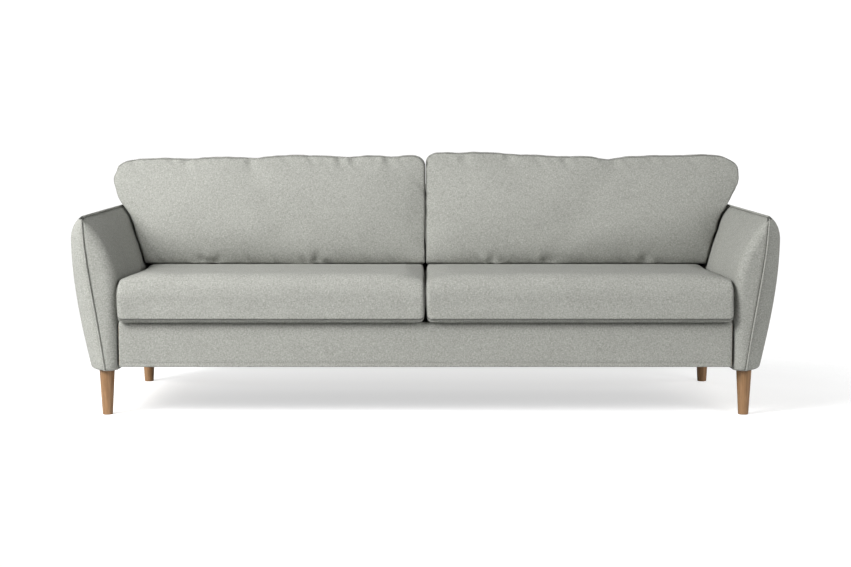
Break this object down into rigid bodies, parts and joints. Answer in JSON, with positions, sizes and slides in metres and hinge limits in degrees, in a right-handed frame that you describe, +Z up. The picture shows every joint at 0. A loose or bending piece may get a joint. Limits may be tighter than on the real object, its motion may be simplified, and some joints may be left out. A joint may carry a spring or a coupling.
{
  "type": "sofa",
  "caption": "Upholstered sofa with flared, piped arms, loose seat and back cushions and round tapered oak legs.",
  "frame": {"origin": "On the floor, under the middle of the sofa's bounding box.", "axes": "+Z is up, +X runs along the seat to a viewer's right as they face the sofa, and the front faces -Y."},
  "size_m": [2.36, 0.93, 0.865],
  "materials": {
    "upholstery": "melange grey woven wool blend",
    "piping": "the same fabric over a cord",
    "deck_cloth": "plain woven cloth on thin felt",
    "dust_cloth": "black non-woven cloth",
    "webbing": "black elastic webbing",
    "foam": "foam with a fibre wrap",
    "oak": "oiled oak",
    "pine": "planed, unfinished",
    "steel": "zinc plated"
  },
  "bodies": {
    "frame": {"leg_front_left": "oak", "hanger_bolt_front_left": "steel", "threaded_insert_front_left": "steel", "leg_rear_left": "oak", "hanger_bolt_rear_left": "steel", "threaded_insert_rear_left": "steel", "arm_bottom_rail_left": "pine", "arm_front_post_left": "pine", "arm_rear_post_left": "pine", "arm_top_rail_left": "pine", "arm_inner_pad_left": "upholstery", "arm_outer_pad_left": "upholstery", "arm_piping_left": "piping", "arm_bolt_front_left": "steel", "arm_bolt_rear_left": "steel", "seat_side_rail_left": "pine", "back_post_left": "pine", "leg_front_right": "oak", "hanger_bolt_front_right": "steel", "threaded_insert_front_right": "steel", "leg_rear_right": "oak", "hanger_bolt_rear_right": "steel", "threaded_insert_rear_right": "steel", "arm_bottom_rail_right": "pine", "arm_front_post_right": "pine", "arm_rear_post_right": "pine", "arm_top_rail_right": "pine", "arm_inner_pad_right": "upholstery", "arm_outer_pad_right": "upholstery", "arm_piping_right": "piping", "arm_bolt_front_right": "steel", "arm_bolt_rear_right": "steel", "seat_side_rail_right": "pine", "back_post_right": "pine", "seat_front_rail": "pine", "seat_rear_rail": "pine", "seat_centre_rail": "pine", "back_top_rail": "pine", "back_bottom_rail": "pine", "back_centre_post": "pine", "front_panel": "upholstery", "back_cover": "upholstery", "back_panel": "upholstery", "seat_deck": "deck_cloth", "seat_webbing_1": "webbing", "seat_webbing_2": "webbing", "seat_webbing_3": "webbing", "seat_webbing_4": "webbing", "seat_webbing_5": "webbing", "seat_webbing_6": "webbing", "dust_cover": "dust_cloth"},
    "seat_cushion_left": {"seat_cushion_left_cover": "upholstery", "seat_cushion_left_core": "foam"},
    "back_cushion_left": {"back_cushion_left_cover": "upholstery", "back_cushion_left_core": "foam"},
    "seat_cushion_right": {"seat_cushion_right_cover": "upholstery", "seat_cushion_right_core": "foam"},
    "back_cushion_right": {"back_cushion_right_cover": "upholstery", "back_cushion_right_core": "foam"}
  },
  "joints": [
    {"name": "seat_cushion_left_lift", "type": "slide", "parent": "frame", "child": "seat_cushion_left", "axis": [0, 0, 1], "range_m": [0, 0.5]},
    {"name": "back_cushion_left_lift", "type": "slide", "parent": "seat_cushion_left", "child": "back_cushion_left", "axis": [0, 0, 1], "range_m": [0, 0.35]},
    {"name": "seat_cushion_right_lift", "type": "slide", "parent": "frame", "child": "seat_cushion_right", "axis": [0, 0, 1], "range_m": [0, 0.5]},
    {"name": "back_cushion_right_lift", "type": "slide", "parent": "seat_cushion_right", "child": "back_cushion_right", "axis": [0, 0, 1], "range_m": [0, 0.35]}
  ]
}
